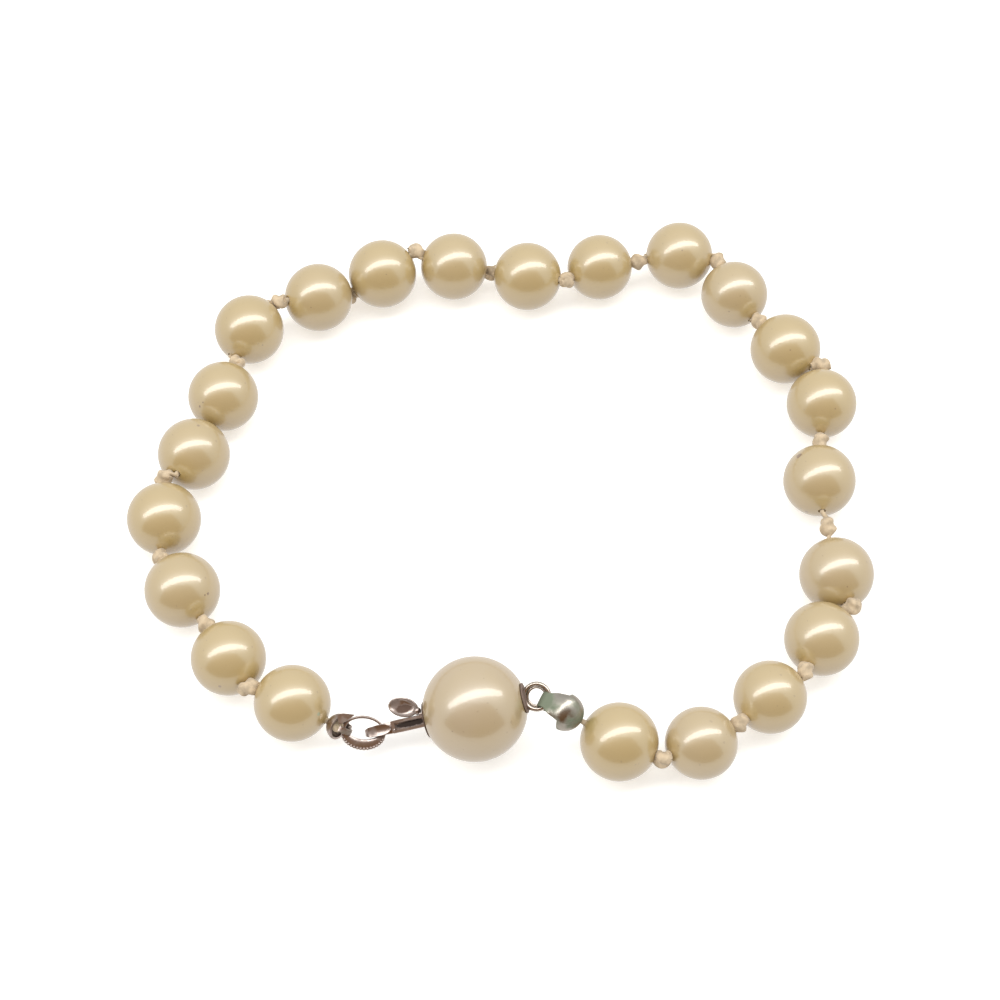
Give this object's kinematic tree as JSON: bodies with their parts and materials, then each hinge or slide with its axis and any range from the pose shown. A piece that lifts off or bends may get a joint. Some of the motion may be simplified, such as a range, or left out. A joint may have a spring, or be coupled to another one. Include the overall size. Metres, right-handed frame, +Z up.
{
  "type": "pearl bracelet",
  "caption": "Bracelet of knotted cream imitation pearls, closed by a tongue clasp inside one larger pearl, lying on a surface.",
  "frame": {"origin": "middle of the bounding box, at the level of the surface it lies on", "axes": "+X along the loop's longer way, from the tongue's end of the clasp to the eye's end; +Y from the clasp across the loop; +Z up"},
  "size_m": [0.0666, 0.0586, 0.0089],
  "materials": {
    "pearl": "pearl lacquer on glass, glossy",
    "clasp_pearl": "pearl lacquer, glossy",
    "silk": "twisted silk, matt, grubby",
    "silver": "polished silver-tone plate, slightly tarnished",
    "tarnished_metal": "dull, with green verdigris"
  },
  "bodies": {
    "root": {"pearl_01": "pearl", "pearl_02": "pearl", "pearl_03": "pearl", "pearl_04": "pearl", "pearl_05": "pearl", "pearl_06": "pearl", "pearl_07": "pearl", "pearl_08": "pearl", "pearl_09": "pearl", "pearl_10": "pearl", "pearl_11": "pearl", "pearl_12": "pearl", "pearl_13": "pearl", "pearl_14": "pearl", "pearl_15": "pearl", "pearl_16": "pearl", "pearl_17": "pearl", "pearl_18": "pearl", "pearl_19": "pearl", "pearl_20": "pearl", "pearl_21": "pearl", "pearl_22": "pearl", "clasp_pearl": "clasp_pearl", "silk_thread": "silk", "clasp_box": "silver", "clasp_tongue": "silver", "link_ring": "silver", "bead_tip_tongue_end": "silver", "bead_tip_eye_end": "tarnished_metal"}
  },
  "joints": []
}
